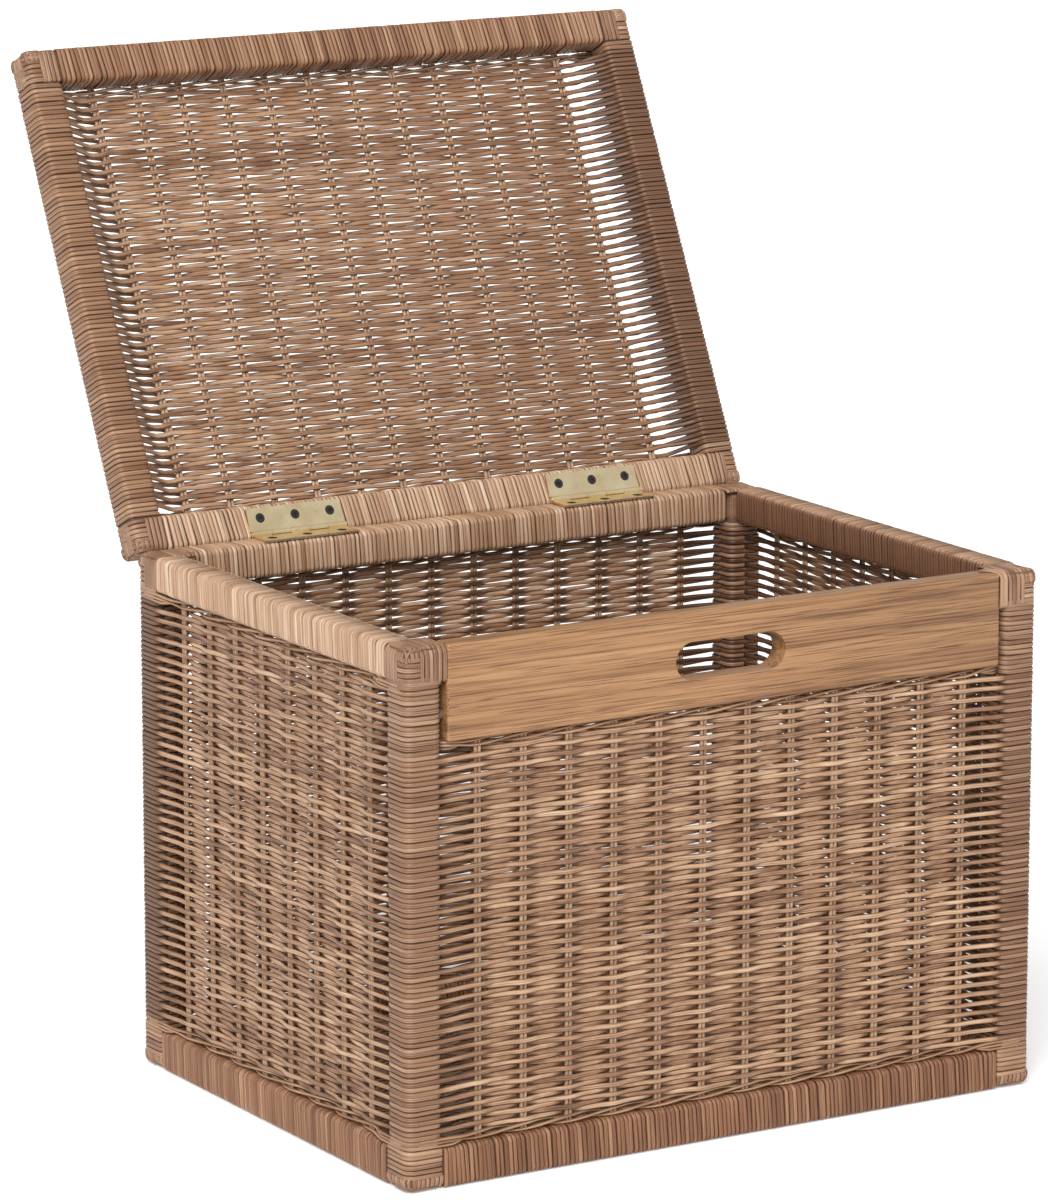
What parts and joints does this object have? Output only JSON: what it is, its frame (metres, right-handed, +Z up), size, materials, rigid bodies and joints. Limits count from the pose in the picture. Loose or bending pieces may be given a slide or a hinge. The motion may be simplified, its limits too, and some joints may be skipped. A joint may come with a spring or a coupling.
{
  "type": "wicker trunk coffee table",
  "caption": "Rectangular woven rattan trunk used as a coffee table, with a bound frame, a wooden front board with a hand slot and a hinged woven lid standing open.",
  "frame": {"origin": "on the ground under the middle of the box, at the centre of the base batten's underside", "axes": "+X along the trunk's length to the right as seen from the front, +Y to the back where the hinges are, +Z up; the lid is open at rest"},
  "size_m": [0.6, 0.6661, 0.8346],
  "materials": {
    "weaver": "satin stained rattan weavers",
    "weaver_wrap": "satin stained rattan, wound",
    "rail_cane": "satin stained flat cane, wound close",
    "corner_cane": "satin stained flat cane, crossed",
    "border_twist": "satin stained rattan, twisted",
    "stake_rod": "stained rattan core",
    "board_wood": "satin stained solid wood with horizontal grain",
    "frame_wood": "bare sawn wood, hidden under cane",
    "dowel_wood": "bare turned wood",
    "hinge_brass": "rolled brass, slightly dulled",
    "black_screw": "black japanned steel",
    "nail_steel": "bright steel"
  },
  "bodies": {
    "box": {"back_bottom_binding": "rail_cane", "back_bottom_rail": "frame_wood", "back_left_post": "frame_wood", "back_left_post_wrap": "weaver_wrap", "back_right_post": "frame_wood", "back_right_post_wrap": "weaver_wrap", "back_stakes": "stake_rod", "back_top_binding": "rail_cane", "back_top_rail": "frame_wood", "back_weave": "weaver", "base_batten": "frame_wood", "bottom_corner_lashings": "corner_cane", "floor_stakes": "stake_rod", "floor_weave": "weaver", "frame_nails": "nail_steel", "front_board": "board_wood", "front_board_dowels": "dowel_wood", "front_bottom_binding": "rail_cane", "front_bottom_rail": "frame_wood", "front_left_post": "frame_wood", "front_left_post_wrap": "weaver_wrap", "front_right_post": "frame_wood", "front_right_post_wrap": "weaver_wrap", "front_stakes": "stake_rod", "front_weave": "weaver", "hinge_box_leaves": "hinge_brass", "hinge_box_screws": "black_screw", "hinge_pins": "hinge_brass", "left_bottom_binding": "rail_cane", "left_bottom_rail": "frame_wood", "left_top_binding": "rail_cane", "left_top_rail": "frame_wood", "left_weave": "weaver", "panel_borders": "border_twist", "right_bottom_binding": "rail_cane", "right_bottom_rail": "frame_wood", "right_top_binding": "rail_cane", "right_top_rail": "frame_wood", "right_weave": "weaver", "side_stakes": "stake_rod", "top_corner_lashings": "corner_cane"},
    "lid": {"hinge_lid_leaves": "hinge_brass", "hinge_lid_screws": "black_screw", "lid_back_binding": "rail_cane", "lid_back_rail": "frame_wood", "lid_borders": "border_twist", "lid_corner_lashings": "corner_cane", "lid_front_binding": "rail_cane", "lid_front_rail": "frame_wood", "lid_left_binding": "weaver_wrap", "lid_left_rail": "frame_wood", "lid_nails": "nail_steel", "lid_right_binding": "weaver_wrap", "lid_right_rail": "frame_wood", "lid_stakes": "stake_rod", "lid_weave": "weaver"}
  },
  "joints": [
    {"name": "lid_hinge", "type": "hinge", "parent": "box", "child": "lid", "pos_m": [0, 0.21865, 0.442], "axis": [1, 0, 0], "range_deg": [0, 116.27]}
  ]
}
